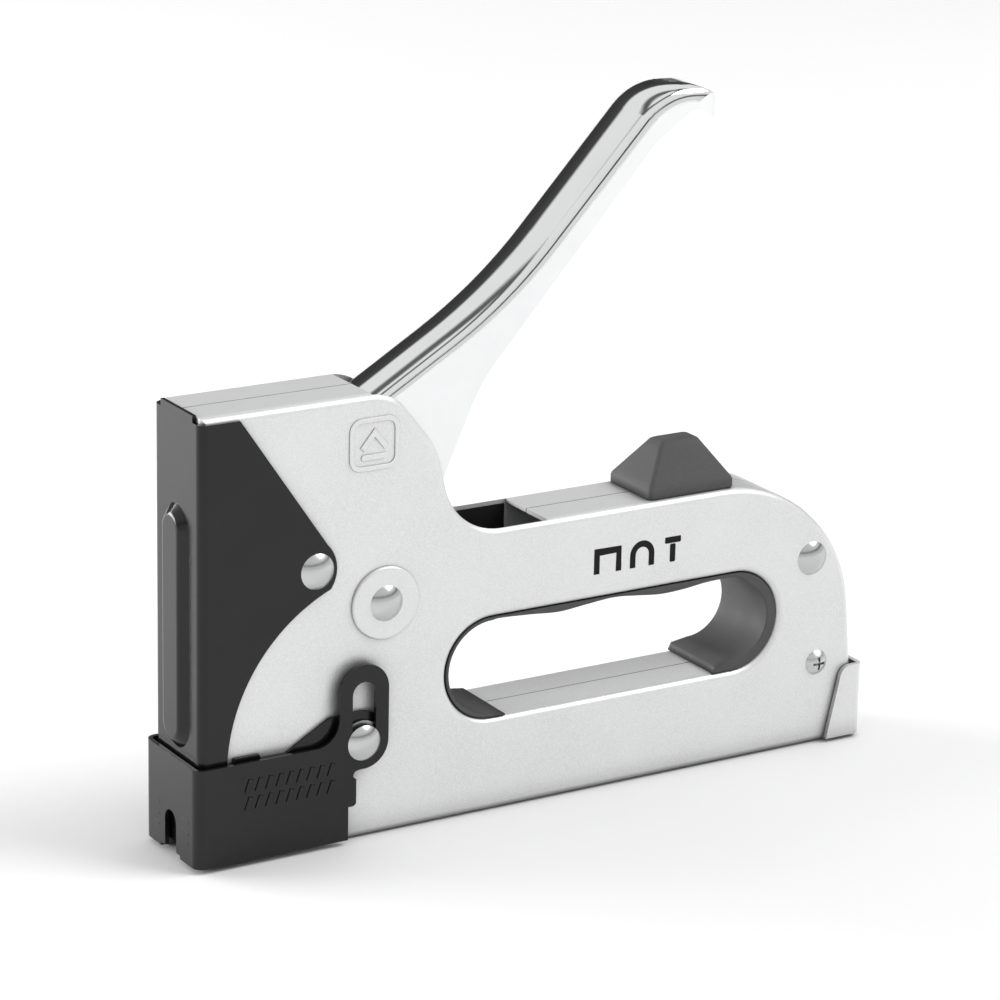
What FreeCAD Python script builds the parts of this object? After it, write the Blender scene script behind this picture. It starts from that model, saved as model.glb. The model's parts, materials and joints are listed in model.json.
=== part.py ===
import FreeCAD, Part
import math
import os

# Hand staple gun with a sprung striker, a squeeze lever and a sliding wire attachment.
# Millimetres. X runs from the nose to the heel, Y across the tool and Z up from the magazine floor.
# The drawing measures X from the front face of the driver blade; ORIGIN_X moves the exported
# parts so that the origin lies on the magazine floor, just behind the staple exit.

V = FreeCAD.Vector
ORIGIN_X = 4.0

# --- driving dimensions -------------------------------------------------------------------
HALF_W = 10.2            # half width over the two body shells
SHELL_T = 1.0            # shell sheet
BEND_R = 1.8             # outside radius of the shell bends
SEAM_GAP = 0.15          # half of the gap where the two shells meet
HEAD_TOP = 104.4
HEAD_FRONT = -1.15
RAIL_TOP = 68.4
HEEL_X = 176.0

GRIP_LEFT = 73.5         # centres of the two round ends of the grip opening
GRIP_RIGHT = 140.5
GRIP_Z = 35.0
GRIP_R = 12.3

PIVOT_X = 44.7
PIVOT_Z = 55.6
PIVOT_R = 3.0
RIVET_HEAD_R = 4.15
RIVET_DOME = 1.5

ARM_R = 33.0             # lever pivot to the centre of the lifting tip
ARM_REST = 21.0          # degrees that the tip hangs below the pivot at rest
TIP_R = 3.2
TIP_X = PIVOT_X - ARM_R * math.cos(math.radians(ARM_REST))
TIP_Z = PIVOT_Z - ARM_R * math.sin(math.radians(ARM_REST))
WINDOW_CLEARANCE = 0.45

LEVER_HALF_W = 8.7
LEVER_T = 1.2
FIT = 0.05               # radial clearance of a running fit

NOSE_FRONT = -2.1
NOSE_T = 0.9
NOSE_HALF_W = 11.15
NOSE_BEND_R = 2.0
NOSE_RIVET = (27.0, 65.9)

ATT_FRONT = -3.85
ATT_T = 1.0
ATT_HALF_W = 12.85
ATT_BEND_R = 2.4
ATT_BOTTOM = 1.2
ATT_TOP = 24.6
PIN_X = 38.3
PIN_Z = 24.0
PIN_R = 2.9
SLOT_R = 3.0
SLOT_TOP = 35.6          # height of the slot's upper centre

REAR_RIVET = (162.4, 47.7)
REAR_SCREW = (165.0, 20.8)

BLADE_T = 1.2
BLADE_HALF_W = 5.5
STRIKER_BACK = 13.0
SPRING_X = 7.6
SPRING_R = 6.3           # outside radius of the main spring
SPRING_WIRE = 2.0
SPRING_SEAT = 56.0
SPRING_TOP = 98.5

CHANNEL_HALF_W = 6.6
CHANNEL_T = 0.8
CHANNEL_TOP = 18.0
RAIL_HALF_W = 4.3
RAIL_END = 150.0
STAPLE_WIRE = 1.2
STAPLE_HALF_W = 5.65
STAPLE_TOP = 16.4
STAPLE_COUNT = 42
STRIP_FRONT = 1.45
ROD_Z = 8.8
ROD_R = 1.5
FOLLOWER_FRONT = STRIP_FRONT + STAPLE_COUNT * STAPLE_WIRE + 0.1
FOLLOWER_LENGTH = 13.0
PLUG_FRONT = 160.0
BRACKET_BACK = 178.2

BUMPER_X = (116.0, 139.7)
BUMPER_TOP_X = (122.9, 133.4)
BUMPER_TOP = 80.5


# --- small helpers ------------------------------------------------------------------------
def point(x, z, y=0.0):
    return V(x, y, z)


def box(x0, x1, y0, y1, z0, z1):
    return Part.makeBox(x1 - x0, y1 - y0, z1 - z0, V(x0, y0, z0))


def rod_y(x, z, radius, y0, y1):
    return Part.makeCylinder(radius, y1 - y0, V(x, y0, z), V(0, 1, 0))


def rod_x(y, z, radius, x0, x1):
    return Part.makeCylinder(radius, x1 - x0, V(x0, y, z), V(1, 0, 0))


def rod_z(x, y, radius, z0, z1):
    return Part.makeCylinder(radius, z1 - z0, V(x, y, z0), V(0, 0, 1))


def outline(start, steps, y=0.0):
    """Closed wire in an XZ plane: a step is a point, an arc (mid, end) or a list for a smooth curve."""
    edges = []
    last = point(*start, y)
    for step in steps:
        if isinstance(step, list):
            through = [last] + [point(*p, y) for p in step]
            curve = Part.BSplineCurve()
            curve.interpolate(through)
            edges.append(curve.toShape())
            last = through[-1]
        elif isinstance(step[0], tuple):
            mid, end = point(*step[0], y), point(*step[1], y)
            edges.append(Part.Arc(last, mid, end).toShape())
            last = end
        else:
            end = point(*step, y)
            edges.append(Part.LineSegment(last, end).toShape())
            last = end
    first = point(*start, y)
    if last.distanceToPoint(first) > 1e-6:
        edges.append(Part.LineSegment(last, first).toShape())
    return Part.Wire(edges)


def slab(wire, thickness):
    """Extrude a wire in an XZ plane towards +Y."""
    return Part.Face(wire).extrude(V(0, thickness, 0))


def rounded(corners, y, inset=0.0):
    """Closed wire through corners (x, z, radius), listed clockwise, moved inwards by inset."""
    count = len(corners)
    spots = []
    for k in range(count):
        (x0, z0, _), (x1, z1, radius), (x2, z2, _) = corners[k - 1], corners[k], corners[(k + 1) % count]
        ux, uz = x1 - x0, z1 - z0
        vx, vz = x2 - x1, z2 - z1
        ul, vl = math.hypot(ux, uz), math.hypot(vx, vz)
        ux, uz, vx, vz = ux / ul, uz / ul, vx / vl, vz / vl
        turn = math.atan2(ux * vz - uz * vx, ux * vx + uz * vz)
        shift = inset * math.tan(turn / 2.0)
        cx, cz = x1 + uz * inset + ux * shift, z1 - ux * inset + uz * shift
        bend = radius - inset if turn < 0 else radius + inset
        spots.append((cx, cz, max(bend, 0.0) if radius else 0.0, (ux, uz), (vx, vz), abs(turn)))
    edges = []
    ends = []
    for cx, cz, bend, u, v, turn in spots:
        reach = bend * math.tan(turn / 2.0)
        enter = point(cx - u[0] * reach, cz - u[1] * reach, y)
        leave = point(cx + v[0] * reach, cz + v[1] * reach, y)
        middle = None
        if reach > 1e-6:
            lift = bend * (1.0 / math.cos(turn / 2.0) - 1.0)
            wx, wz = v[0] - u[0], v[1] - u[1]
            size = math.hypot(wx, wz)
            middle = point(cx + wx / size * lift, cz + wz / size * lift, y)
        ends.append((enter, middle, leave))
    for k, (enter, middle, leave) in enumerate(ends):
        if middle is not None:
            edges.append(Part.Arc(enter, middle, leave).toShape())
        following = ends[(k + 1) % count][0]
        if leave.distanceToPoint(following) > 1e-5:
            edges.append(Part.LineSegment(leave, following).toShape())
    return Part.Wire(edges)


def capsule(c0, c1, radius, y0, y1):
    """Round-ended bar between two centres (x, z), from y0 to y1."""
    return tapered_arm(c0, radius, c1, radius, y0, y1)


def tapered_arm(c0, r0, c1, r1, y0, y1):
    """Plate with round ends of two radii joined by their common tangents."""
    dx, dz = c1[0] - c0[0], c1[1] - c0[1]
    length = math.hypot(dx, dz)
    along = math.atan2(dz, dx)
    lean = math.acos((r0 - r1) / length)

    def on(centre, radius, angle):
        return centre[0] + radius * math.cos(angle), centre[1] + radius * math.sin(angle)

    start = on(c0, r0, along + lean)
    steps = [
        (on(c0, r0, along + math.pi), on(c0, r0, along - lean)),
        on(c1, r1, along - lean),
        (on(c1, r1, along), on(c1, r1, along + lean)),
    ]
    return slab(outline(start, steps, y0), y1 - y0)


def edges_where(shape, test):
    """Edges whose every sampled point passes the test."""
    picked = []
    for edge in shape.Edges:
        first, last = edge.ParameterRange
        samples = [edge.valueAt(first + (last - first) * k / 4.0) for k in range(5)]
        if all(test(p) for p in samples):
            picked.append(edge)
    return picked


def mirror_y(shape):
    return shape.mirror(V(0, 0, 0), V(0, 1, 0))


def both_sides(shape):
    """The shape on the left side and its mirror image, as two separate solids."""
    return Part.makeCompound([shape, mirror_y(shape)])


def dome(x, z, y, side, radius=RIVET_HEAD_R, height=RIVET_DOME):
    """Spherical rivet head standing on the plane y, towards side * Y."""
    sphere_r = (radius * radius + height * height) / (2.0 * height)
    ball = Part.makeSphere(sphere_r, V(x, y + side * (height - sphere_r), z))
    low, high = sorted((y, y + side * (height + 1.0)))
    return ball.common(rod_y(x, z, radius, low, high))


def coil(radius, wire, pitch, turns, start, direction):
    """Helical spring of the given wire, its ends left open."""
    helix = Part.makeHelix(pitch, pitch * turns, radius)
    section = Part.Wire(Part.makeCircle(wire / 2.0, V(radius, 0, 0), V(0, 1, 0)))
    body = Part.Wire(helix.Edges).makePipeShell([section], True, True)
    body.Placement = FreeCAD.Placement(start, FreeCAD.Rotation(V(0, 0, 1), direction))
    return body


# --- body shells --------------------------------------------------------------------------
BODY = [(HEAD_FRONT, 0.0, 0), (HEAD_FRONT, HEAD_TOP, 0), (46.5, HEAD_TOP, 12.0), (58.5, 89.5, 20.0),
        (63.3, RAIL_TOP, 15.0), (150.6, RAIL_TOP, 38.0), (172.7, 48.8, 36.0), (HEEL_X, 16.0, 20.0),
        (HEEL_X, 0.0, 0)]


def pressed_block(inset, y):
    """Half body as a solid from the plane y to the seam, with the grip opening through it."""
    block = slab(rounded(BODY, y, inset), -y - SEAM_GAP)
    return block.cut(capsule((GRIP_LEFT, GRIP_Z), (GRIP_RIGHT, GRIP_Z), GRIP_R + inset, y - 1, 1))


def body_shell():
    """Left pressed half: a side plate with bent edges and a flanged grip opening."""
    outer = pressed_block(0.0, -HALF_W)
    outer = outer.makeFillet(BEND_R, edges_where(outer, lambda p: p.y < -HALF_W + 0.001))
    shell = outer.cut(pressed_block(SHELL_T, -HALF_W + SHELL_T))

    inside = -HALF_W + SHELL_T
    shell = shell.cut(box(41.2, 87.8, inside, 1, 58, 110))              # open hollow for the lever
    shell = shell.cut(box(-3, HEEL_X + 2, -CHANNEL_HALF_W - 0.1, 1, -1, 3))   # magazine floor
    shell = shell.cut(box(HEEL_X - 3, HEEL_X + 2, -7.6, 1, -1, 18.6))  # way out for the pusher
    boss = rod_y(PIVOT_X, PIVOT_Z, 8.6, -HALF_W - 0.8, -HALF_W + 0.1)
    boss = boss.makeFillet(0.6, edges_where(boss, lambda p: p.y < -HALF_W - 0.79))
    shell = shell.fuse(boss)
    shell = shell.cut(rod_z(sum(BUMPER_X) / 2, 0, 3.6, RAIL_TOP - 3, RAIL_TOP + 1))
    for x, z, radius in [
        (PIVOT_X, PIVOT_Z, PIVOT_R),
        (NOSE_RIVET[0], NOSE_RIVET[1], 2.0),
        (PIN_X, PIN_Z, PIN_R),
        (REAR_RIVET[0], REAR_RIVET[1], 2.0),
        (REAR_SCREW[0], REAR_SCREW[1], 1.5),
    ]:
        shell = shell.cut(rod_y(x, z, radius, -HALF_W - 2, 1))
    return shell


def nose_rib(inset, lift):
    """Solid of the pressed rib on the nose: a long round-ended mound leaning in to a flat crest."""
    base_r, crest_r = 5.9 - inset, 3.6 - inset
    low, high = 32.2, 77.0

    def ring(radius, x):
        edges = [
            Part.LineSegment(V(x, -radius, low), V(x, -radius, high)).toShape(),
            Part.Arc(V(x, -radius, high), V(x, 0, high + radius), V(x, radius, high)).toShape(),
            Part.LineSegment(V(x, radius, high), V(x, radius, low)).toShape(),
            Part.Arc(V(x, radius, low), V(x, 0, low - radius), V(x, -radius, low)).toShape(),
        ]
        return Part.Wire(edges)

    root_x = NOSE_FRONT + lift
    mound = Part.makeLoft([ring(base_r, root_x), ring(crest_r, root_x - 1.8)], True, True)
    return mound.makeFillet(1.6 - inset, edges_where(mound, lambda p: p.x < root_x - 1.799))


def nose_cheek_outline(y):
    return outline(
        (NOSE_FRONT, ATT_BOTTOM),
        [
            (NOSE_FRONT, 103.2),
            (7.7, 103.2),
            (29.6, 71.6),
            ((31.9, 65.9), (30.4, 61.3)),
            ((12.6, 47.2), (4.6, 24.4)),
            (6.2, 24.4),
            (6.4, 25.4),
            (12.6, 25.4),
            (12.9, 24.4),
            (19.4, 24.4),
            (30.4, 30.6),
            (PIN_X, 31.0),
            ((PIN_X + 7.0, PIN_Z), (PIN_X, PIN_Z - 7.0)),
            (22.0, 14.0),
            (14.0, ATT_BOTTOM),
        ],
        y,
    )


def nose_channel():
    """Black U over the front of the body, with a rib on its face and a lug back to the pin."""
    front = box(NOSE_FRONT, 50, -NOSE_HALF_W, NOSE_HALF_W, ATT_BOTTOM, 104.8)
    front = front.makeFillet(
        NOSE_BEND_R,
        edges_where(front, lambda p: p.x < NOSE_FRONT + 0.001 and abs(p.y) > NOSE_HALF_W - 0.001),
    )
    hollow = box(NOSE_FRONT + NOSE_T, 60, -NOSE_HALF_W + NOSE_T, NOSE_HALF_W - NOSE_T, 0, 106)
    hollow = hollow.makeFillet(
        NOSE_BEND_R - NOSE_T,
        edges_where(
            hollow,
            lambda p: p.x < NOSE_FRONT + NOSE_T + 0.001 and abs(p.y) > NOSE_HALF_W - NOSE_T - 0.001,
        ),
    )
    channel = front.cut(hollow)
    cheeks = slab(nose_cheek_outline(-NOSE_HALF_W - 1), 2 * NOSE_HALF_W + 2)
    face_part = box(NOSE_FRONT - 1, NOSE_FRONT + NOSE_T, -7.6, 7.6, ATT_BOTTOM, 104.8)
    channel = channel.common(cheeks.fuse(face_part))
    channel = channel.fuse(nose_rib(0.0, 0.0)).cut(nose_rib(0.8, NOSE_T))
    channel = channel.cut(box(NOSE_FRONT - 1, 0, -7.0, 7.0, 0, 3.0))
    channel = channel.cut(rod_y(PIN_X, PIN_Z, PIN_R, -20, 20))
    return channel.cut(rod_y(*NOSE_RIVET, 2.0, -20, 20))


# --- wire attachment ----------------------------------------------------------------------
def attachment_outline(y):
    ear_r = 6.3
    left, right = PIN_X - ear_r, PIN_X + ear_r
    return outline(
        (ATT_FRONT, ATT_BOTTOM),
        [
            (ATT_FRONT, ATT_TOP),
            (26.0, ATT_TOP),
            ((30.3, 26.4), (left, 30.7)),
            (left, 36.4),
            ((PIN_X, 36.4 + ear_r), (right, 36.4)),
            (right, PIN_Z + 0.2),
            ((PIN_X + 4.4, PIN_Z - 4.4), (PIN_X + 0.6, PIN_Z - 6.2)),
            (37.0, PIN_Z - 6.2),
            ((36.0, PIN_Z - 6.6), (35.7, PIN_Z - 7.8)),
            (36.4, PIN_Z - 8.4),
            (36.4, 9.8),
            (35.7, 9.2),
            (34.4, 9.2),
            (34.4, ATT_BOTTOM),
        ],
        y,
    )


def wire_attachment():
    """Sliding U with a slotted ear each side and an arch that clears the wire."""
    front = box(ATT_FRONT, 60, -ATT_HALF_W, ATT_HALF_W, ATT_BOTTOM, 50)
    corners = edges_where(front, lambda p: p.x < ATT_FRONT + 0.001 and abs(p.y) > ATT_HALF_W - 0.001)
    front = front.makeFillet(ATT_BEND_R, corners)
    inner_w = ATT_HALF_W - ATT_T
    inner_x = ATT_FRONT + ATT_T
    hollow = box(inner_x, 70, -inner_w, inner_w, 0, 51)
    hollow = hollow.makeFillet(
        ATT_BEND_R - ATT_T, edges_where(hollow, lambda p: p.x < inner_x + 0.001 and abs(p.y) > inner_w - 0.001)
    )
    body = front.cut(hollow).common(slab(attachment_outline(-ATT_HALF_W - 1), 2 * ATT_HALF_W + 2))
    slot = capsule((PIN_X, PIN_Z), (PIN_X, SLOT_TOP), SLOT_R, -20, 20)
    arch = box(ATT_FRONT - 1, inner_x + 1, -2.75, 2.75, 0, 8.6)
    arch = arch.fuse(rod_x(0, 8.6, 2.75, ATT_FRONT - 1, inner_x + 1))
    notch = box(ATT_FRONT - 1, inner_x + 0.2, -4.6, 4.6, 0, ATT_BOTTOM + 0.8)
    return body.cut(slot).cut(arch).cut(notch)


# --- lever --------------------------------------------------------------------------------
CROWN = [(38.0, 99.1, 0), (77.0, 121.9, 112.0), (117.3, 165.1, 16.0), (130.5, 164.4, 6.0)]
UNDERSIDE = [(134.2, 159.5, 0), (131.6, 157.4, 0), (125.5, 161.3, 5.0), (114.5, 153.6, 20.0),
             (69.5, 103.0, 40.0), (60.2, 82.0, 30.0), (PIVOT_X + 9.4, PIVOT_Z, 0),
             (PIVOT_X + 9.4, PIVOT_Z - 9.4, 9.4), (PIVOT_X - 9.4, PIVOT_Z - 9.4, 8.9)]
CROSS_PIN = (49.6, 79.0)
TIP_CENTRE = 134.2 - LEVER_HALF_W
CROWN_ROLL = 3.0


def lever_handle():
    """Chrome channel, open below, whose two webs run down to the pivot."""
    def round_ended(radius):
        """Plan of the lever, with its far end a half circle."""
        plan = box(0, TIP_CENTRE, -radius, radius, 30, 180)
        return plan.fuse(rod_z(TIP_CENTRE, 0, radius, 30, 180))

    solid = slab(rounded(CROWN + UNDERSIDE, -LEVER_HALF_W), 2 * LEVER_HALF_W)
    solid = solid.makeFillet(CROWN_ROLL, edges_where(
        solid, lambda p: abs(p.y) > LEVER_HALF_W - 0.001 and on_crown(p)))
    solid = solid.common(round_ended(LEVER_HALF_W))
    web_in = LEVER_HALF_W - LEVER_T
    beyond = [(170.0, 112.0, 0), (170.0, 10.0, 0), (0.0, 10.0, 0), (0.0, 76.9, 0)]
    hollow = slab(rounded(CROWN[1:] + beyond, -web_in, LEVER_T), 2 * web_in)
    hollow = hollow.common(round_ended(web_in))
    handle = solid.cut(hollow)
    handle = handle.cut(rod_y(PIVOT_X, PIVOT_Z, PIVOT_R + FIT, -20, 20))
    return handle.cut(rod_y(*CROSS_PIN, 2.0, -20, 20))


def on_crown(p):
    """True for points of the lever's upper outline."""
    line = CROWN + UNDERSIDE[:1]
    lines = zip(line, line[1:])
    for (x0, z0, _), (x1, z1, _) in lines:
        away = abs((x1 - x0) * (p.z - z0) - (z1 - z0) * (p.x - x0)) / math.hypot(x1 - x0, z1 - z0)
        if x0 - 2.5 <= p.x <= x1 + 0.1 and away < 2.2 and p.z > CROWN[0][1] - 0.1:
            return True
    return False


def lift_arm():
    """Thick plate that turns with the lever and lifts the striker with its round tip."""
    pivot = (PIVOT_X, PIVOT_Z)
    arm = tapered_arm(pivot, 8.0, (TIP_X, TIP_Z), TIP_R, -3.0, 3.0)
    arm = arm.fuse(tapered_arm(pivot, 8.0, CROSS_PIN, 4.5, -3.0, 3.0))
    arm = arm.cut(rod_y(PIVOT_X, PIVOT_Z, PIVOT_R + FIT, -5, 5))
    return arm.cut(rod_y(*CROSS_PIN, 2.0, -5, 5))


def cross_pin():
    return rod_y(*CROSS_PIN, 2.0, -LEVER_HALF_W, LEVER_HALF_W)


def lever_bushes():
    """Two spacers each side of the lift arm, on the pivot and on the cross pin."""
    web_inside = LEVER_HALF_W - LEVER_T
    spacers = []
    for x, z, outer, bore in [(PIVOT_X, PIVOT_Z, 5.0, PIVOT_R + FIT), (*CROSS_PIN, 3.6, 2.0)]:
        ring = rod_y(x, z, outer, -web_inside, -3.0).cut(rod_y(x, z, bore, -20, 0))
        spacers += [ring, mirror_y(ring)]
    return Part.makeCompound(spacers)


def return_spring():
    """Torsion spring round the pivot bush, between the lift arm and one web of the lever."""
    return coil(6.0, 1.0, 1.08, 3.0, V(PIVOT_X, 3.6, PIVOT_Z), V(0, 1, 0))


# --- striker ------------------------------------------------------------------------------
def driver_blade():
    blade = box(-0.05, -0.05 + BLADE_T, -BLADE_HALF_W, BLADE_HALF_W, 1.4, SPRING_SEAT)
    return blade.cut(blade_rivets())


def striker_block():
    """Steel weight behind the blade, with a window for the lifting tip and a seat for the spring."""
    front = -0.05 + BLADE_T
    block = box(front, STRIKER_BACK, -6, 6, 37.0, 50.5)
    block = block.fuse(box(front, 15.0, -6.6, 6.6, 50.0, SPRING_SEAT))
    block = block.fuse(rod_z(SPRING_X, 0, 3.2, SPRING_SEAT - 0.5, 63.0))
    half = TIP_R + WINDOW_CLEARANCE
    block = block.cut(box(PIVOT_X - ARM_R - TIP_R - 0.3, 20, -8, 8, TIP_Z - half, TIP_Z + half))
    return block.cut(blade_rivets())


def blade_rivets():
    """Two flush rivets that hold the blade on the striker block."""
    pins = [rod_x(y, 53.0, 1.2, -0.05, 6.0) for y in (-4.0, 4.0)]
    return Part.makeCompound(pins)


def main_spring():
    length = SPRING_TOP - SPRING_SEAT
    turns = 7.0
    pitch = (length - SPRING_WIRE - 0.2) / turns
    return coil(SPRING_R - SPRING_WIRE / 2, SPRING_WIRE, pitch, turns,
                V(SPRING_X, 0, SPRING_SEAT + SPRING_WIRE / 2 + 0.1), V(0, 0, 1))


def spring_cap():
    """Block under the head's roof that takes the spring's thrust, with a short guide post."""
    cap = box(0.1, 19.0, -8.9, 8.9, SPRING_TOP + 0.1, HEAD_TOP - SHELL_T - 0.1)
    return cap.fuse(rod_z(SPRING_X, 0, 3.2, 89.0, SPRING_TOP + 0.5))


def driver_guide():
    """Plate behind the blade with a rib each side of it and a shelf that carries the buffer."""
    plate = box(1.25, 2.4, -8.9, 8.9, 18.4, 33.0)
    shelf = box(1.25, 14.0, -8.9, 8.9, 31.8, 33.0)
    guide = plate.fuse(shelf)
    for side in (-1, 1):
        low, high = sorted((side * (BLADE_HALF_W + FIT), side * 8.9))
        guide = guide.fuse(box(-0.1, 1.2, low, high, 3.2, 33.0))
        low, high = sorted((side * 6.9, side * 8.9))
        guide = guide.fuse(box(1.15, 2.4, low, high, 3.2, 20.0))
    return guide


def striker_buffer():
    """Rubber block that stops the striker at the end of its stroke."""
    return box(1.4, 13.6, -7.0, 7.0, 33.1, 36.8)


# --- magazine -----------------------------------------------------------------------------
def magazine_channel():
    outer = box(1.25, 172.0, -CHANNEL_HALF_W, CHANNEL_HALF_W, 0, CHANNEL_TOP)
    inner_w = CHANNEL_HALF_W - CHANNEL_T
    return outer.cut(box(0, 180, -inner_w, inner_w, CHANNEL_T, 30))


def staple_rail():
    """Inverted channel that the staples straddle, slotted for the follower's web."""
    rail = box(1.4, RAIL_END, -RAIL_HALF_W, RAIL_HALF_W, CHANNEL_T, 14.9)
    rail = rail.cut(box(0, RAIL_END + 1, -RAIL_HALF_W + 0.8, RAIL_HALF_W - 0.8, 0, 14.1))
    return rail.cut(box(30.0, RAIL_END + 1, -1.3, 1.3, 14, 16))


def staple_strip():
    """One glued strip of wire staples, grooved where the wires meet."""
    length = STAPLE_COUNT * STAPLE_WIRE
    outer = box(STRIP_FRONT, STRIP_FRONT + length, -STAPLE_HALF_W, STAPLE_HALF_W, 2.4, STAPLE_TOP)
    leg = STAPLE_HALF_W - STAPLE_WIRE + 0.05
    strip = outer.cut(box(0, 90, -leg, leg, 0, STAPLE_TOP - STAPLE_WIRE))
    cuts = []
    for index in range(1, STAPLE_COUNT):
        x = STRIP_FRONT + index * STAPLE_WIRE
        groove = box(x - 0.08, x + 0.08, -10, 10, STAPLE_TOP - 0.16, STAPLE_TOP + 1)
        cuts.append(groove)
        for side in (-1, 1):
            low, high = sorted((side * (STAPLE_HALF_W - 0.1), side * 10))
            cuts.append(box(x - 0.08, x + 0.08, low, high, 0, STAPLE_TOP - 0.16))
    return strip.cut(Part.makeCompound(cuts))


def follower():
    """Saddle that pushes the staples, with a web through the rail's slot to a block on the rod."""
    back = FOLLOWER_FRONT + FOLLOWER_LENGTH
    saddle = box(FOLLOWER_FRONT, back, -5.6, 5.6, 2.4, 17.2)
    saddle = saddle.cut(box(0, 200, -RAIL_HALF_W - 0.15, RAIL_HALF_W + 0.15, 0, 15.05))
    web = box(FOLLOWER_FRONT, back, -1.1, 1.1, 10.0, 15.6)
    block = box(FOLLOWER_FRONT, back, -3.2, 3.2, 4.8, 12.8)
    return saddle.fuse(web).fuse(block).cut(rod_x(0, ROD_Z, ROD_R + FIT, 0, 200))


def follower_spring():
    """Long light spring on the rod between the follower and the pusher's plug."""
    start = FOLLOWER_FRONT + FOLLOWER_LENGTH + 0.6
    length = PLUG_FRONT - 0.6 - start
    turns = 24
    return coil(2.6, 0.8, length / turns, turns, V(start, 0, ROD_Z), V(1, 0, 0))


def guide_rod():
    rod = rod_x(0, ROD_Z, ROD_R, 32.0, PLUG_FRONT + 6.0)
    return rod.makeFillet(0.6, edges_where(rod, lambda p: p.x < 32.001))


def pusher_plug():
    """Block in the heel of the magazine that carries the rod and the rear bracket."""
    plug = box(PLUG_FRONT, BRACKET_BACK - 1.2, -5.5, 5.5, 2.4, 16.0)
    return plug.cut(rod_x(0, ROD_Z, ROD_R, 0, PLUG_FRONT + 6.0))


def rear_bracket():
    """Bent sheet handle over the heel of the body, drawn out to load staples."""
    half, sheet = 11.7, 1.2
    side = outline(
        (168.0, 0.9),
        [
            (171.4, 15.9),
            ((172.4, 18.1), (174.6, 18.9)),
            (BRACKET_BACK, 18.9),
            (BRACKET_BACK, 0.9),
        ],
        -half,
    )
    wrap = slab(side, 2 * half)
    wrap = wrap.makeFillet(2.0, edges_where(
        wrap, lambda p: p.x > BRACKET_BACK - 0.001 and abs(p.y) > half - 0.001))
    inner = box(160, BRACKET_BACK - sheet, -half + sheet, half - sheet, 0, 30)
    return wrap.cut(inner)


# --- grip and bumper ----------------------------------------------------------------------
def grip_liner():
    """Rubber C inside the grip opening, thin and waved along the top and thick at the right end."""
    outer_r = GRIP_R - 0.06
    top = GRIP_Z + outer_r
    right_in = GRIP_R - 2.6
    waves = [(133.0, 46.2), (126.0, 45.5), (119.5, 45.3), (113.0, 46.0), (106.5, 46.6), (99.0, 46.1),
             (91.5, 45.5), (84.0, 46.1), (76.0, 46.6)]
    left_in = GRIP_R - 0.9
    low_left = (76.4, GRIP_Z - math.sqrt(outer_r ** 2 - (76.4 - GRIP_LEFT) ** 2))
    ring = outline(
        (GRIP_LEFT, GRIP_Z - outer_r),
        [
            ((GRIP_LEFT - outer_r, GRIP_Z), (GRIP_LEFT, top)),
            (GRIP_RIGHT, top),
            ((GRIP_RIGHT + outer_r, GRIP_Z), (GRIP_RIGHT, GRIP_Z - outer_r)),
            (135.0, GRIP_Z - outer_r),
            (136.2, GRIP_Z - outer_r + 1.8),
            (GRIP_RIGHT, GRIP_Z - right_in),
            ((GRIP_RIGHT + right_in, GRIP_Z), (GRIP_RIGHT, GRIP_Z + right_in + 1.5)),
            waves,
            (GRIP_LEFT, GRIP_Z + left_in),
            ((GRIP_LEFT - left_in, GRIP_Z), (GRIP_LEFT - 1.0, GRIP_Z - left_in + 0.8)),
            (low_left[0] + 1.0, GRIP_Z - outer_r),
        ],
        -HALF_W + 0.5,
    )
    return slab(ring, 2 * (HALF_W - 0.5))


def bumper():
    """Rubber block on the rail that the closed lever comes down on, with a stem in the rail."""
    half_w, band = 8.9, 2.2

    def level(x0, x1, half, z):
        corners = [V(x0, -half, z), V(x1, -half, z), V(x1, half, z), V(x0, half, z)]
        return Part.makePolygon(corners + corners[:1])

    base = box(*BUMPER_X, -half_w, half_w, RAIL_TOP, RAIL_TOP + band)
    upper = Part.makeLoft(
        [level(*BUMPER_X, half_w, RAIL_TOP + band), level(*BUMPER_TOP_X, 2.8, BUMPER_TOP)], True, True
    )
    block = base.fuse(upper).removeSplitter()
    block = block.makeFillet(1.0, edges_where(block, lambda p: p.z > RAIL_TOP + 0.01))
    return block.fuse(rod_z(sum(BUMPER_X) / 2, 0, 3.5, RAIL_TOP - 5.0, RAIL_TOP + 1.0))


# --- fasteners ----------------------------------------------------------------------------
def pivot_rivet():
    """Axle of the lever: a shaft through both shells with a dome on each boss."""
    face = HALF_W + 0.8
    shaft = rod_y(PIVOT_X, PIVOT_Z, PIVOT_R, -face, face)
    return shaft.fuse(dome(PIVOT_X, PIVOT_Z, -face, -1)).fuse(dome(PIVOT_X, PIVOT_Z, face, 1))


def nose_rivets():
    face = NOSE_HALF_W
    shaft = rod_y(*NOSE_RIVET, 2.0, -face, -HALF_W + SHELL_T - 0.2)
    return both_sides(shaft.fuse(dome(*NOSE_RIVET, -face, -1)))


def attachment_pin():
    """Shaft across the body that the attachment's slots slide on, with a dome at each end."""
    face = ATT_HALF_W + FIT
    shaft = rod_y(PIN_X, PIN_Z, PIN_R, -face, face)
    return shaft.fuse(dome(PIN_X, PIN_Z, -face, -1)).fuse(dome(PIN_X, PIN_Z, face, 1))


def pin_washers():
    """Spacers on the pin between the nose lug and the attachment's ear."""
    ring = rod_y(PIN_X, PIN_Z, 5.0, -ATT_HALF_W + ATT_T + FIT, -NOSE_HALF_W)
    return both_sides(ring.cut(rod_y(PIN_X, PIN_Z, PIN_R, -20, 20)))


def rear_rivet():
    shaft = rod_y(*REAR_RIVET, 2.0, -HALF_W, HALF_W)
    return shaft.fuse(dome(*REAR_RIVET, -HALF_W, -1)).fuse(dome(*REAR_RIVET, HALF_W, 1))


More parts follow.
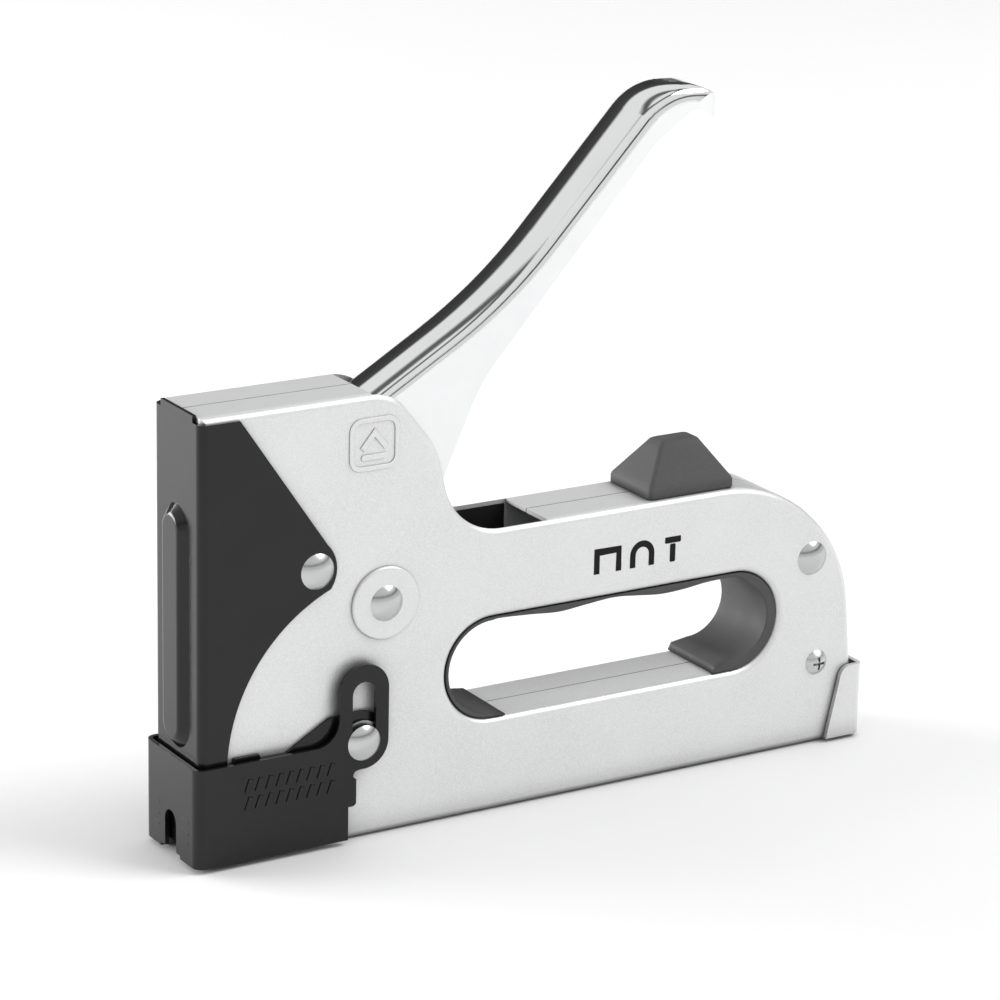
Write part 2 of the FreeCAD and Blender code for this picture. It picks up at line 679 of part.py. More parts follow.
def rear_spacer():
    reach = HALF_W - SHELL_T
    return rod_y(*REAR_RIVET, 4.2, -reach, reach).cut(rod_y(*REAR_RIVET, 2.0, -20, 20))


def rear_screw():
    """Cross-recessed pan screw through both shells at the heel."""
    x, z = REAR_SCREW
    shaft = rod_y(x, z, 1.5, -HALF_W, HALF_W + 2.6)
    head = dome(x, z, -HALF_W, -1, 3.1, 1.5)
    cross = box(x - 1.6, x + 1.6, -HALF_W - 2, -HALF_W - 0.7, z - 0.3, z + 0.3)
    cross = cross.fuse(box(x - 0.3, x + 0.3, -HALF_W - 2, -HALF_W - 0.7, z - 1.6, z + 1.6))
    return shaft.fuse(head.cut(cross))


def rear_nut():
    x, z = REAR_SCREW
    corners = [point(x + 3.1 * math.cos(k * math.pi / 3), z + 3.1 * math.sin(k * math.pi / 3), HALF_W)
               for k in range(6)]
    nut = Part.Face(Part.makePolygon(corners + corners[:1])).extrude(V(0, 2.2, 0))
    return nut.cut(rod_y(x, z, 1.5, 0, 20))


LEFT_SHELL = body_shell()

NODES = {
    "left_shell": LEFT_SHELL,
    "right_shell": mirror_y(LEFT_SHELL),
    "nose_channel": nose_channel(),
    "wire_attachment": wire_attachment(),
    "lever_handle": lever_handle(),
    "lift_arm": lift_arm(),
    "lever_cross_pin": cross_pin(),
    "lever_bushes": lever_bushes(),
    "return_spring": return_spring(),
    "pivot_rivet": pivot_rivet(),
    "nose_rivets": nose_rivets(),
    "attachment_pin": attachment_pin(),
    "pin_washers": pin_washers(),
    "rear_rivet": rear_rivet(),
    "rear_spacer": rear_spacer(),
    "rear_screw": rear_screw(),
    "rear_nut": rear_nut(),
    "driver_blade": driver_blade(),
    "striker_block": striker_block(),
    "blade_rivets": blade_rivets(),
    "main_spring": main_spring(),
    "spring_cap": spring_cap(),
    "driver_guide": driver_guide(),
    "striker_buffer": striker_buffer(),
    "magazine_channel": magazine_channel(),
    "staple_rail": staple_rail(),
    "staple_strip": staple_strip(),
    "follower": follower(),
    "follower_spring": follower_spring(),
    "guide_rod": guide_rod(),
    "pusher_plug": pusher_plug(),
    "rear_bracket": rear_bracket(),
    "grip_liner": grip_liner(),
    "bumper": bumper(),
}

os.makedirs("parts", exist_ok=True)
for name, shape in NODES.items():
    shape = shape.removeSplitter() if len(shape.Solids) == 1 else shape
    moved = shape.copy()
    moved.translate(V(-ORIGIN_X, 0, 0))
    moved.exportStep("parts/" + name + ".step")
    bounds = moved.BoundBox
    print(f"{name:18s} solids {len(moved.Solids)} valid {moved.isValid()} volume {moved.Volume:9.1f} "
          f"x {bounds.XMin:7.2f} {bounds.XMax:7.2f} y {bounds.YMin:7.2f} {bounds.YMax:7.2f} "
          f"z {bounds.ZMin:7.2f} {bounds.ZMax:7.2f}")
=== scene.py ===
import json
import math

import bmesh
import bpy
from mathutils import Matrix, Vector


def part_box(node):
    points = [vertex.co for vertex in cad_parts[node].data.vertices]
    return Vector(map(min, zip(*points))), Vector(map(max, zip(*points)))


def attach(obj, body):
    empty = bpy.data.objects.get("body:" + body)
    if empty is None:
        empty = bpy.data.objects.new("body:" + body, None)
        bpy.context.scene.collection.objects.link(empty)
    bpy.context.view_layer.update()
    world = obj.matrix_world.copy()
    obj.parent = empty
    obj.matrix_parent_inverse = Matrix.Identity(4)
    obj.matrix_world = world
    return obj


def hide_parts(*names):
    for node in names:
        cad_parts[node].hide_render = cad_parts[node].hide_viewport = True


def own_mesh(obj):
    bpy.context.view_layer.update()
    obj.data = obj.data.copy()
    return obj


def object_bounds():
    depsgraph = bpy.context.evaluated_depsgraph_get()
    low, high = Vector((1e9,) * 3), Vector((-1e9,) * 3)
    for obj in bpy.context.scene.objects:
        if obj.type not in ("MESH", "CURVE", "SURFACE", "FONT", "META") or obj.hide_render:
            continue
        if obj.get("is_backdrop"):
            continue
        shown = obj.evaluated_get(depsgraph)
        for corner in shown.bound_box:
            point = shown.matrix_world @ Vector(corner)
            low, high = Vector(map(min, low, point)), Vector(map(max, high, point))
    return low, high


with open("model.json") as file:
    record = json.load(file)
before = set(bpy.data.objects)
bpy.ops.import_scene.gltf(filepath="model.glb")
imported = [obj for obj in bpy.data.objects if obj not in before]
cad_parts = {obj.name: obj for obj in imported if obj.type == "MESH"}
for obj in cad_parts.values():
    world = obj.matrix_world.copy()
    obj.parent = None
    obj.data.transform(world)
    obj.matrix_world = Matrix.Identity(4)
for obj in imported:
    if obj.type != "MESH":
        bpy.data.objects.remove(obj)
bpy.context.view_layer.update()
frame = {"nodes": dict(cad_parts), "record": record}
NODES = frame["nodes"]
MM = 0.001
METRE = 1000.0                        # in mm, for heights that are in metres already
CROWN_BOW = 34.0                      # the crown drops by this times the square of Y, in metres
SHELL_WELL_SHADE = ((0.036, -0.0093, 0.0485), (0.0835, 0.0093, 0.0672))    # painted near black as shade, in metres


# --- procedural materials -----------------------------------------------------------------
class Finish:
    """One principled material with its texture nodes, in object coordinates and metres."""

    def __init__(self, name, metallic=0.0, **sockets):
        self.material = bpy.data.materials.new(name)
        self.material.use_nodes = True
        self.tree = self.material.node_tree
        self.shader = self.tree.nodes["Principled BSDF"]
        self.shader.inputs["Metallic"].default_value = metallic
        for socket, value in sockets.items():
            self.shader.inputs[socket.replace("_", " ")].default_value = value
        self.position = self.node("ShaderNodeTexCoord").outputs["Object"]

    def node(self, kind, **settings):
        made = self.tree.nodes.new(kind)
        for name, value in settings.items():
            setattr(made, name, value)
        return made

    def join(self, output, socket):
        self.tree.links.new(output, socket)

    def noise(self, size_mm, detail=3.0, stretch=(1, 1, 1)):
        """Noise with features of about size_mm, longer along the axes whose stretch is above 1."""
        mapping = self.node("ShaderNodeMapping")
        mapping.inputs["Scale"].default_value = [1 / s for s in stretch]
        self.join(self.position, mapping.inputs["Vector"])
        made = self.node("ShaderNodeTexNoise")
        made.inputs["Scale"].default_value = 1000 / size_mm
        made.inputs["Detail"].default_value = detail
        self.join(mapping.outputs["Vector"], made.inputs["Vector"])
        return made.outputs["Fac"]

    def scratches(self, size_mm, width, stretch):
        """Thin bright lines, as a mask from 0 to 1."""
        lines = self.noise(size_mm, 2.0, stretch)
        return self.ranged(lines, 0.5 - width, 0.5, 0.0, 1.0)

    def ranged(self, value, low, high, to_low, to_high):
        made = self.node("ShaderNodeMapRange")
        for socket, number in (("From Min", low), ("From Max", high),
                               ("To Min", to_low), ("To Max", to_high)):
            made.inputs[socket].default_value = number
        self.join(value, made.inputs["Value"])
        return made.outputs["Result"]

    def mixed(self, value, first, second):
        made = self.node("ShaderNodeMix", data_type="RGBA")
        self.join(value, made.inputs["Factor"])
        for socket, colour in ((made.inputs[6], first), (made.inputs[7], second)):
            if isinstance(colour, (tuple, list)):
                socket.default_value = (*colour, 1)
            else:
                self.join(colour, socket)
        return made.outputs[2]

    def coordinates(self):
        """The position's X, Y and Z outputs."""
        split = self.node("ShaderNodeSeparateXYZ")
        self.join(self.position, split.inputs["Vector"])
        return split.outputs

    def calculated(self, operation, first, second):
        """A math node on two outputs or numbers."""
        made = self.node("ShaderNodeMath", operation=operation)
        for socket, value in zip(made.inputs, (first, second)):
            if isinstance(value, (int, float)):
                socket.default_value = value
            else:
                self.join(value, socket)
        return made.outputs[0]

    def inside(self, low, high):
        """1 inside a box and 0 outside it."""
        place = self.coordinates()
        mask = 1.0
        for axis, start, end in zip("XYZ", low, high):
            for operation, limit in (("GREATER_THAN", start), ("LESS_THAN", end)):
                test = self.calculated(operation, place[axis], limit)
                mask = self.calculated("MULTIPLY", mask, test)
        return mask

    def colour(self, output, reach_mm=5.0, deepest=0.35):
        """Base colour, with shade painted into gaps and corners by an ambient occlusion darkening.
        """
        # painted shade: occlusion within reach_mm darkens the colour down to deepest
        corners = self.node("ShaderNodeAmbientOcclusion", samples=6)
        corners.inputs["Distance"].default_value = reach_mm * MM
        shade = self.ranged(corners.outputs["AO"], 0.15, 0.85, deepest, 1.0)
        made = self.node("ShaderNodeMix", data_type="RGBA", blend_type="MULTIPLY")
        made.inputs["Factor"].default_value = 1.0
        self.join(output, made.inputs[6])
        self.join(shade, made.inputs[7])
        self.join(made.outputs[2], self.shader.inputs["Base Color"])

    def roughness(self, output):
        self.join(output, self.shader.inputs["Roughness"])

    def bump(self, *layers):
        """Stacks bumps: each layer is (height, depth in mm)."""
        normal = None
        for height, depth_mm in layers:
            made = self.node("ShaderNodeBump")
            made.inputs["Strength"].default_value = 1.0
            made.inputs["Distance"].default_value = depth_mm * MM
            self.join(height, made.inputs["Height"])
            if normal:
                self.join(normal, made.inputs["Normal"])
            normal = made.outputs["Normal"]
        self.join(normal, self.shader.inputs["Normal"])


def grey(value, tint=0.0):
    """A near neutral colour, a touch cooler for a positive tint."""
    return (value * (1 - tint), value, value * (1 + tint))


def silver_paint():
    made = Finish("silver_paint", 0.45, Coat_Weight=0.2, Coat_Roughness=0.3)
    flakes = made.noise(0.24, 2.0)
    cloud = made.noise(16.0, 3.0)
    base = made.mixed(made.ranged(cloud, 0.3, 0.7, 0, 1), grey(0.66, 0.004), grey(0.71, 0.004))
    bright = made.ranged(flakes, 0.38, 0.66, 0.0, 1.0)
    painted = made.mixed(bright, base, grey(0.77, 0.004))
    # The well inside the shell is painted near black as shade, and gaps and corners get painted
    # shade.
    well_shade = made.inside(*SHELL_WELL_SHADE)
    made.colour(made.mixed(well_shade, painted, grey(0.02)), 9.0, 0.18)
    made.roughness(made.ranged(made.noise(0.6, 3.0), 0.3, 0.7, 0.36, 0.46))
    made.bump((made.noise(1.4, 2.0), 0.006), (flakes, 0.008))
    return made.material


def black_enamel():
    made = Finish("black_enamel", 0.0, Coat_Weight=0.12, Coat_Roughness=0.06,
                  Specular_IOR_Level=0.28)
    cloud = made.noise(12.0, 4.0)
    # Gaps and corners on the enamel get painted shade.
    made.colour(made.mixed(cloud, grey(0.004, 0.02), grey(0.010, 0.02)))
    made.roughness(made.ranged(made.noise(2.5, 4.0), 0.3, 0.7, 0.15, 0.24))
    made.bump((made.noise(1.6, 2.0), 0.003), (made.noise(0.3, 2.0), 0.0006))
    return made.material


def chrome_plate(name, dark, light, rough, domed=False):
    """Bright plate; domed also bows the lever's crown across its width, by bump alone."""
    made = Finish(name, 1.0)
    smear = made.noise(9.0, 4.0)
    hair = made.scratches(0.35, 0.05, (14, 1, 14))
    # Gaps and corners on the plate get painted shade.
    made.colour(made.mixed(smear, grey(dark, 0.006), grey(light, 0.006)), 2.0, 0.5)
    made.roughness(made.ranged(smear, 0.3, 0.7, rough, rough + 0.04))
    layers = [(made.noise(7.0, 1.0), 0.012), (hair, 0.0006)]
    if domed:
        across = made.coordinates()["Y"]
        square = made.calculated("MULTIPLY", across, across)
        layers.insert(0, (made.calculated("MULTIPLY", square, -CROWN_BOW), METRE))
    made.bump(*layers)
    return made.material


def grey_rubber():
    made = Finish("grey_rubber", 0.0)
    cloud = made.noise(6.0, 4.0)
    pores = made.noise(0.35, 3.0)
    base = made.mixed(made.ranged(cloud, 0.3, 0.7, 0, 1), grey(0.050), grey(0.068))
    dust = made.ranged(pores, 0.55, 0.75, 0.0, 0.35)
    # Pores are lighter at random as dust; gaps, rims and the grip's hollow get painted shade.
    made.colour(made.mixed(dust, base, grey(0.12)), 12.0, 0.2)
    made.roughness(made.ranged(cloud, 0.3, 0.7, 0.62, 0.78))
    made.bump((pores, 0.030), (made.noise(1.5, 2.0), 0.02))
    return made.material


def steel(name, dark, light, rough, size_mm=0.25, stretch=(1, 1, 20)):
    """Drawn or brushed steel with its lines along one axis."""
    made = Finish(name, 1.0)
    lines = made.noise(size_mm, 3.0, stretch)
    cloud = made.noise(8.0, 3.0)
    # Gaps and corners on the steel get painted shade.
    made.colour(made.mixed(cloud, grey(dark, 0.01), grey(light, 0.01)))
    made.roughness(made.ranged(lines, 0.3, 0.7, rough, rough + 0.16))
    made.bump((lines, 0.004))
    return made.material


def printed_ink():
    made = Finish("printed_ink", 0.0, Specular_IOR_Level=0.15)
    speck = made.noise(0.3, 3.0)
    # Gaps and corners by the ink get painted shade.
    made.colour(made.mixed(speck, grey(0.004), grey(0.010)))
    made.roughness(made.ranged(speck, 0.3, 0.7, 0.4, 0.55))
    made.bump((speck, 0.004))
    return made.material


FINISHES = {
    "silver_shell": silver_paint(),
    "black_enamel": black_enamel(),
    "chrome_plate": chrome_plate("chrome_plate", 0.50, 0.60, 0.19),
    "grey_rubber": grey_rubber(),
    "plain_steel": steel("plain_steel", 0.36, 0.46, 0.28),
    "spring_steel": steel("spring_steel", 0.26, 0.34, 0.25, 0.4, (1, 1, 1)),
    "staple_wire": steel("staple_wire", 0.58, 0.68, 0.24, 0.2, (1, 12, 12)),
    "zinc_plate": steel("zinc_plate", 0.56, 0.66, 0.22, 0.3, (20, 1, 1)),
}
INK = printed_ink()
DOMED_CHROME = chrome_plate("domed_chrome", 0.80, 0.88, 0.035, domed=True)

for part in frame["record"]["subparts"]:
    mesh = NODES[part["node"]].data
    finish = FINISHES[part["material_slot"]]
    if part["node"] == "lever_handle":
        finish = DOMED_CHROME
    if mesh.materials:
        for index in range(len(mesh.materials)):
            mesh.materials[index] = finish
    else:
        mesh.materials.append(finish)


def placed(name, data):
    """A new object in the scene for a mesh, a light or a camera."""
    made = bpy.data.objects.new(name, data)
    bpy.context.scene.collection.objects.link(made)
    return made


# --- camera -------------------------------------------------------------------------------
def aim_camera():
    azimuth, elevation, roll = (math.radians(a) for a in (-31.70, 17.33, 1.30))
    back = Vector((math.sin(azimuth) * math.cos(elevation),
                   -math.cos(azimuth) * math.cos(elevation), math.sin(elevation)))
    right = Vector((math.cos(azimuth), math.sin(azimuth), 0))
    up = back.cross(right)
    tilted_right = math.cos(roll) * right + math.sin(roll) * up
    tilted_up = -math.sin(roll) * right + math.cos(roll) * up
    data = bpy.data.cameras.new("camera")
    data.sensor_width = 36
    data.lens = 142.5
    data.shift_x, data.shift_y = -0.006, -0.024
    place = Matrix.Translation((-0.3766, -0.73623, 0.34704))
    camera = placed("camera", data)
    camera.matrix_world = place @ Matrix((tilted_right, tilted_up, back)).transposed().to_4x4()
    bpy.context.scene.camera = camera


aim_camera()


# --- raised and printed marks -------------------------------------------------------------
SIDE = Matrix(((1, 0, 0), (0, 0, -1), (0, 1, 0)))        # local x, y, z -> X, Z, -Y
FRONT = Matrix(((0, 0, -1), (-1, 0, 0), (0, 1, 0)))      # local x, y, z -> -Y, Z, -X
SHELL_SIDE_Y = -10.2                  # planes in mm on which the marks stand
ATTACHMENT_SIDE_Y = -12.85
ATTACHMENT_FRONT_X = -7.85


def relief(name, loops, origin, axes, height, rounding, body, finish):
    """A raised mark from closed loops in mm; inner loops are holes."""
    curve = bpy.data.curves.new(name, "CURVE")
    curve.dimensions, curve.fill_mode = "2D", "BOTH"
    curve.extrude = (height - rounding) * MM
    curve.bevel_depth, curve.bevel_resolution = rounding * MM, 3
    for loop in loops:
        spline = curve.splines.new("POLY")
        spline.points.add(len(loop) - 1)
        for spot, (x, y) in zip(spline.points, loop):
            spot.co = (x * MM, y * MM, 0, 1)
        spline.use_cyclic_u = True
    drawn = bpy.data.objects.new(name + "_curve", curve)
    mesh = bpy.data.meshes.new_from_object(drawn)
    bpy.data.objects.remove(drawn)
    mesh.transform(Matrix.Translation(Vector(origin) * MM) @ axes.to_4x4())
    mesh.materials.clear()
    mesh.materials.append(finish)
    for face in mesh.polygons:
        face.use_smooth = False
    piece = placed(name, mesh)
    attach(piece, body)
    return piece


def rounded_box(cx, cy, width, height, radius, steps=6):
    """Corner-rounded rectangle, anticlockwise."""
    loop = []
    for sx, sy, start in ((1, 1, 0), (-1, 1, 90), (-1, -1, 180), (1, -1, 270)):
        mx, my = cx + sx * (width / 2 - radius), cy + sy * (height / 2 - radius)
        for k in range(steps + 1):
            angle = math.radians(start + 90 * k / steps)
            loop.append((mx + radius * math.cos(angle), my + radius * math.sin(angle)))
    return loop


def stroke(points, width):
    """Outline of an open polyline of the given width, with square ends."""
    left, right = [], []
    count = len(points)
    for i, (x, y) in enumerate(points):
        ax, ay = points[max(i - 1, 0)]
        bx, by = points[min(i + 1, count - 1)]
        length = math.hypot(bx - ax, by - ay)
        nx, ny = -(by - ay) / length, (bx - ax) / length
        grow = width / 2
        if 0 < i < count - 1:
            first = math.hypot(x - ax, y - ay)
            cosine = abs(nx * -(y - ay) / first + ny * (x - ax) / first)
            grow /= max(cosine, 0.5)
        left.append((x + nx * grow, y + ny * grow))
        right.append((x - nx * grow, y - ny * grow))
    return left + right[::-1]


def shell_marks():
    """A raised generic badge near the head and three printed staple symbols by the grip."""
    badge_place = (37.5, SHELL_SIDE_Y, 93.2)
    badge = [rounded_box(0, 0, 12.4, 12.0, 2.8), rounded_box(0, 0, 10.6, 10.2, 2.0)[::-1]]
    relief("badge_frame", badge, badge_place, SIDE, 0.28, 0.10,
           "frame", FINISHES["silver_shell"])
    bars = [stroke([(-3.0, -1.0), (0, 2.6), (3.0, -1.0)], 1.1),
            rounded_box(0, -3.0, 6.4, 1.1, 0.5)]
    relief("badge_symbol", bars, badge_place, SIDE, 0.28, 0.10,
           "frame", FINISHES["silver_shell"])
    flat = stroke([(-3.0, -3.0), (-3.0, 2.3), (3.0, 2.3), (3.0, -3.0)], 1.5)
    arch = [(2.6 * -math.cos(math.radians(a)), 2.6 * math.sin(math.radians(a)))
            for a in range(0, 181, 15)]
    arch = stroke([(-2.6, -3.0)] + arch + [(2.6, -3.0)], 1.5)
    brad = [rounded_box(0, 2.3, 4.4, 1.5, 0.3), rounded_box(0, -0.9, 1.5, 4.4, 0.3)]
    for name, loops, x in (("mark_staple", [flat], 100), ("mark_cable_staple", [arch], 109.5),
                           ("mark_brad", brad, 118)):
        relief(name, loops, (x, SHELL_SIDE_Y, 56.3), SIDE, 0.05, 0.02,
               "frame", INK)


def attachment_marks():
    """Raised thumb ribs on the attachment's side, and short bars on its front."""
    ribs = [stroke([(x - 0.5, z - 1.4), (x + 0.5, z + 1.4)], 0.9)
            for z in (2.1, -2.1) for x in (-10.4, -7.8, -5.2, -2.6, 0, 2.6, 5.2, 7.8, 10.4)]
    relief("attachment_ribs", ribs, (15.5, ATTACHMENT_SIDE_Y, 17.0), SIDE, 0.30, 0.12,
           "attachment", FINISHES["black_enamel"])
    bars = [rounded_box(y, z, 3.4, 0.8, 0.35) for y in (-7.2, 7.2) for z in (6.0, 8.6, 11.2)]
    relief("attachment_bars", bars, (ATTACHMENT_FRONT_X, 0, 0), FRONT, 0.05, 0.02,
           "attachment", FINISHES["black_enamel"])


def closed_rings(rings):
    """A bmesh over rings of points, all with the same count, with a cap at each end."""
    work = bmesh.new()
    loops = [[work.verts.new(point) for point in ring] for ring in rings]
    count = len(loops[0])
    for loop, after in zip(loops, loops[1:]):
        for j in range(count):
            following = (j + 1) % count
            work.faces.new((loop[j], after[j], after[following], loop[following]))
    work.faces.new(loops[0])
    work.faces.new(loops[-1][::-1])
    bmesh.ops.recalc_face_normals(work, faces=work.faces)
    return work


def mesh_of(name, work, finish):
    """The mesh of a bmesh, which is freed, with one material."""
    mesh = bpy.data.meshes.new(name)
    work.to_mesh(mesh)
    work.free()
    mesh.materials.append(finish)
    return mesh


# --- springs on the frame and the pusher --------------------------------------------------
def coil_spring(name, start, axis, length, radius, wire, turns):
    """Compression spring with closed end turns; start is the middle of one end's outer face."""
    steps = int(turns * 40)                        # rings along the wire
    around = 10                                    # points in each ring
    closed = 1.1                                   # turns that lie flat at each end
    open_pitch = (length - wire * (1 + 2 * closed)) / (turns - 2 * closed)

    def rise(turn):
        flat_start = min(turn, closed) * wire
        middle = max(0.0, min(turn, turns - closed) - closed) * open_pitch
        flat_end = max(0.0, turn - (turns - closed)) * wire
        return wire / 2 + flat_start + middle + flat_end

    rings = []
    for k in range(steps + 1):
        turn = turns * k / steps
        angle = 2 * math.pi * turn
        outward = Vector((math.cos(angle), math.sin(angle), 0))
        centre = outward * radius + Vector((0, 0, rise(turn)))
        ring = []
        for j in range(around):
            part = 2 * math.pi * j / around
            offset = outward * math.cos(part) + Vector((0, 0, 1)) * math.sin(part)
            ring.append(centre + offset * wire / 2)
        rings.append(ring)
    mesh = mesh_of(name, closed_rings(rings), FINISHES["spring_steel"])
    turned = Vector((0, 0, 1)).rotation_difference(Vector(axis)).to_matrix().to_4x4()
    mesh.transform(Matrix.Translation(Vector(start) * MM) @ turned @ Matrix.Scale(MM, 4))
    for face in mesh.polygons:
        face.use_smooth = True
    piece = placed(name, mesh)
    return piece


def middle_of(node):
    low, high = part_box(node)
    return (low + high) / 2 / MM


def springs():
    """The driving spring over the striker and the follower's spring on its rod."""
    over = middle_of("main_spring")
    seat, cap = 56.05, 98.45
    piece = coil_spring("driving_spring", (over.x, 0, seat), (0, 0, 1), cap - seat, 5.3, 1.9, 8.0)
    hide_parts("main_spring")
    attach(piece, "frame")
    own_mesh(piece)

    rod = middle_of("guide_rod")
    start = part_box("follower")[1].x / MM + 0.1
    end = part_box("pusher_plug")[0].x / MM - 0.1
    piece = coil_spring("rod_spring", (start, 0, rod.z), (1, 0, 0), end - start, 2.6, 0.8, 24.0)
    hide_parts("follower_spring")
    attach(piece, "pusher")
    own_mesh(piece)


# --- moulded rubber -----------------------------------------------------------------------
def skin(name, node, rings):
    """Closed rubber piece over rings of points in mm that replaces a node."""
    work = closed_rings([[Vector(point) * MM for point in ring] for ring in rings])
    mesh = mesh_of(name, work, FINISHES["grey_rubber"])
    for face in mesh.polygons:
        face.use_smooth = len(face.vertices) == 4
    piece = placed(name, mesh)
    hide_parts(node)
    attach(piece, "frame")


def arc(cx, cz, radius, start, end, steps):
    """Points on an arc between two angles in degrees."""
    angles = [math.radians(start + (end - start) * k / steps) for k in range(steps + 1)]
    return [(cx + radius * math.cos(a), cz + radius * math.sin(a)) for a in angles]


def smooth_line(points, steps):
    """Points on a smooth curve through the given ones, without the first."""
    line = []
    for i in range(len(points) - 1):
        p0, p1, p2, p3 = (points[max(0, min(i + k, len(points) - 1))] for k in (-1, 0, 1, 2))
        for k in range(1, steps + 1):
            t = k / steps
            line.append(tuple(
                0.5 * (2 * b + (c - a) * t + (2 * a - 5 * b + 4 * c - d) * t * t
                       + (3 * b - a - 3 * c + d) * t ** 3)
                for a, b, c, d in zip(p0, p1, p2, p3)))
    return line


def inset_loop(loop, amount):
    """A clockwise outline moved inwards at each point, square to its neighbours."""
    moved = []
    for i, (x, z) in enumerate(loop):
        ax, az = loop[i - 1]
        bx, bz = loop[(i + 1) % len(loop)]
        length = math.hypot(bx - ax, bz - az)
        moved.append((x + amount * (bz - az) / length, z - amount * (bx - ax) / length))
    return moved


def grip_rubber():
    """C of rubber in the grip opening, waved for the fingers, with rounded rims."""
    low, high = (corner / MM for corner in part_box("grip_liner"))
    radius, middle = (high.z - low.z) / 2, (high.z + low.z) / 2
    left, right = low.x + radius, high.x - radius
    right_inner, left_inner = radius - 2.55, 11.4
    fingers = ((7.5, 11.2), (14.5, 10.5), (21, 10.3), (27.5, 11.0), (34, 11.6),
               (41.5, 11.1), (49, 10.5), (56.5, 11.1), (64.5, 11.6))
    waves = [(right + 2.6, middle + right_inner + 0.6), (right, middle + right_inner + 1.5)]
    waves += [(right - away, middle + rise) for away, rise in fingers]
    waves += [(left, middle + left_inner)]
    loop = arc(left, middle, radius, -90, -180, 14) + arc(left, middle, radius, 180, 90, 14)[1:]
    loop += arc(right, middle, radius, 90, -90, 28)
    loop += [(right - 5.4, low.z), (right - 4.6, low.z + 1.9), (right, middle - right_inner)]
    loop += arc(right, middle, right_inner, -90, 60, 20)[1:]
    loop += smooth_line(waves, 6)
    loop += arc(left, middle, left_inner, 90, 255, 24)[1:]
    loop += [(left + 3.9, low.z + 0.25)]
    rings = []
    edge = 0.32                                    # radius of the rims
    for k in range(5):
        angle = math.radians(90 * k / 4)
        rings.append((low.y + edge * (1 - math.sin(angle)), edge * (1 - math.cos(angle))))
    rings = rings[::-1] + [(-y, inset) for y, inset in rings]
    skin("grip_rubber", "grip_liner",
         [[(x, y, z) for x, z in inset_loop(loop, inset)] for y, inset in rings])


def bumper_rubber():
    """Frustum with a straight band at its foot and soft edges."""
    low, high = (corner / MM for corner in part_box("bumper"))
    x0, x1, half = low.x + 0.02, high.x - 0.02, high.y - 0.05
    foot, top = 68.42, high.z - 0.1
    lean_low_x, lean_high_x, lean_side = 7.0, 6.4, 6.1
    # each level is its height, how far it is set in, and its share of the lean
    levels = [(foot, 0.25, 0.0), (foot + 0.3, 0.0, 0.0),
              (foot + 2.0, 0.0, 0.0), (foot + 2.35, 0.12, 0.0)]
    levels += [(foot + 2.6 + (top - foot - 3.2) * k / 6, 0.2, k / 6.4) for k in range(7)]
    levels += [(top - 0.25, 0.45, 1.0), (top - 0.05, 1.0, 1.0), (top, 1.8, 1.0)]
    rings = []
    for z, inset, share in levels:
        left, right = x0 + lean_low_x * share + inset, x1 - lean_high_x * share - inset
        wide = half - lean_side * share - inset
        box_loop = rounded_box((left + right) / 2, 0, right - left, 2 * wide, min(1.1, wide * 0.5))
        rings.append([(x, y, z) for x, y in box_loop])
    skin("bumper_rubber", "bumper", rings)


shell_marks()
attachment_marks()
springs()
grip_rubber()
bumper_rubber()


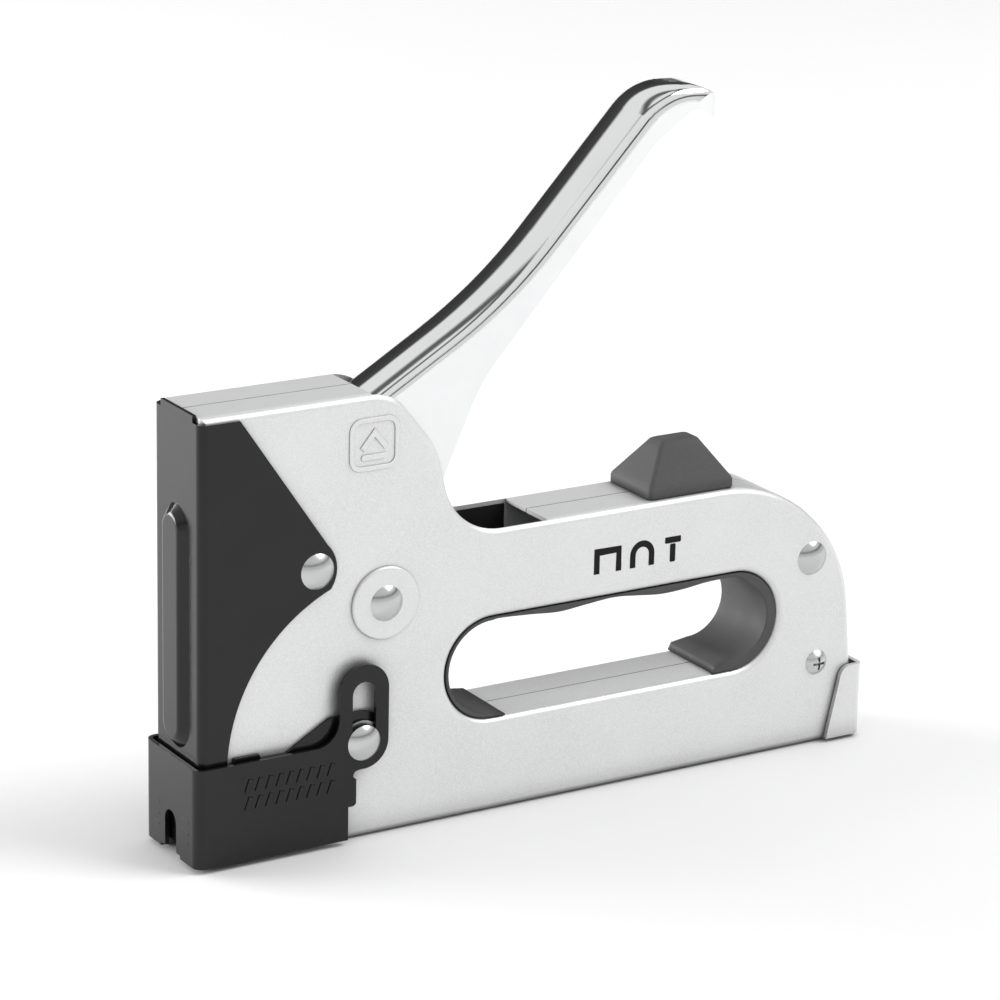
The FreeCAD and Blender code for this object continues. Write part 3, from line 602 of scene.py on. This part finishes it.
# --- stage --------------------------------------------------------------------------------
def stage():
    """A pale floor just under the object."""
    pale = Finish("pale_floor", 0.0)
    cloud = pale.noise(400, 2.0)
    # The floor is darkened around the object as a painted contact shadow.
    pale.colour(pale.mixed(cloud, grey(0.90), grey(0.92)), 40.0, 0.8)
    pale.roughness(pale.ranged(cloud, 0.3, 0.7, 0.6, 0.7))
    work = bmesh.new()
    bmesh.ops.create_grid(work, x_segments=1, y_segments=1, size=6)
    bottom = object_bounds()[0][2]
    floor = placed("floor", mesh_of("floor", work, pale.material))
    floor.location.z = bottom - 0.0001
    floor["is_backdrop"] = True


def area_light(name, place, target, size, power):
    data = bpy.data.lights.new(name, "AREA")
    data.shape, data.size, data.size_y = "RECTANGLE", size[0], size[1]
    data.energy = power
    light = placed(name, data)
    light.location = place
    aim = Vector(target) - Vector(place)
    light.rotation_euler = aim.to_track_quat("-Z", "Y").to_euler()


def studio_sky():
    """White studio surround with dark strips behind and overhead, which the chrome shows."""
    world = bpy.data.worlds.new("studio")
    bpy.context.scene.world = world
    world.use_nodes = True
    tree = world.node_tree
    where = tree.nodes.new("ShaderNodeTexCoord")
    split = tree.nodes.new("ShaderNodeSeparateXYZ")
    tree.links.new(where.outputs["Generated"], split.inputs["Vector"])

    def heights(stops):
        ramp = tree.nodes.new("ShaderNodeValToRGB")
        while len(ramp.color_ramp.elements) < len(stops):
            ramp.color_ramp.elements.new(1.0)
        for element, (spot, value) in zip(ramp.color_ramp.elements, stops):
            element.position = spot
            element.color = (value, value, value, 1)
        tree.links.new(split.outputs["Z"], ramp.inputs["Fac"])
        return ramp.outputs["Color"]

    overhead = [(0.80, 1.0), (0.86, 0.15), (0.91, 0.15), (0.96, 1.0)]
    behind = heights([(0.00, 0.10), (0.10, 0.05), (0.34, 0.08), (0.42, 1.0)] + overhead)
    ahead = heights([(0.00, 0.95), (0.18, 0.95), (0.23, 0.10), (0.29, 0.10), (0.34, 0.95)]
                    + overhead)
    side = tree.nodes.new("ShaderNodeMapRange")
    side.inputs["From Min"].default_value = 0.15
    side.inputs["From Max"].default_value = 0.35
    tree.links.new(split.outputs["Y"], side.inputs["Value"])
    blend = tree.nodes.new("ShaderNodeMix")
    blend.data_type = "RGBA"
    tree.links.new(side.outputs["Result"], blend.inputs["Factor"])
    tree.links.new(ahead, blend.inputs[6])
    tree.links.new(behind, blend.inputs[7])
    tree.links.new(blend.outputs[2], tree.nodes["Background"].inputs["Color"])
    tree.nodes["Background"].inputs["Strength"].default_value = 0.86


stage()
studio_sky()
area_light("key", (1.8, -1.2, 2.4), (0.08, 0, 0.07), (1.6, 1.6), 55)
area_light("rim", (-0.9, 0.9, 0.30), (0.0, 0, 0.06), (1.0, 0.5), 22)
bpy.context.scene.view_settings.view_transform = "Standard"
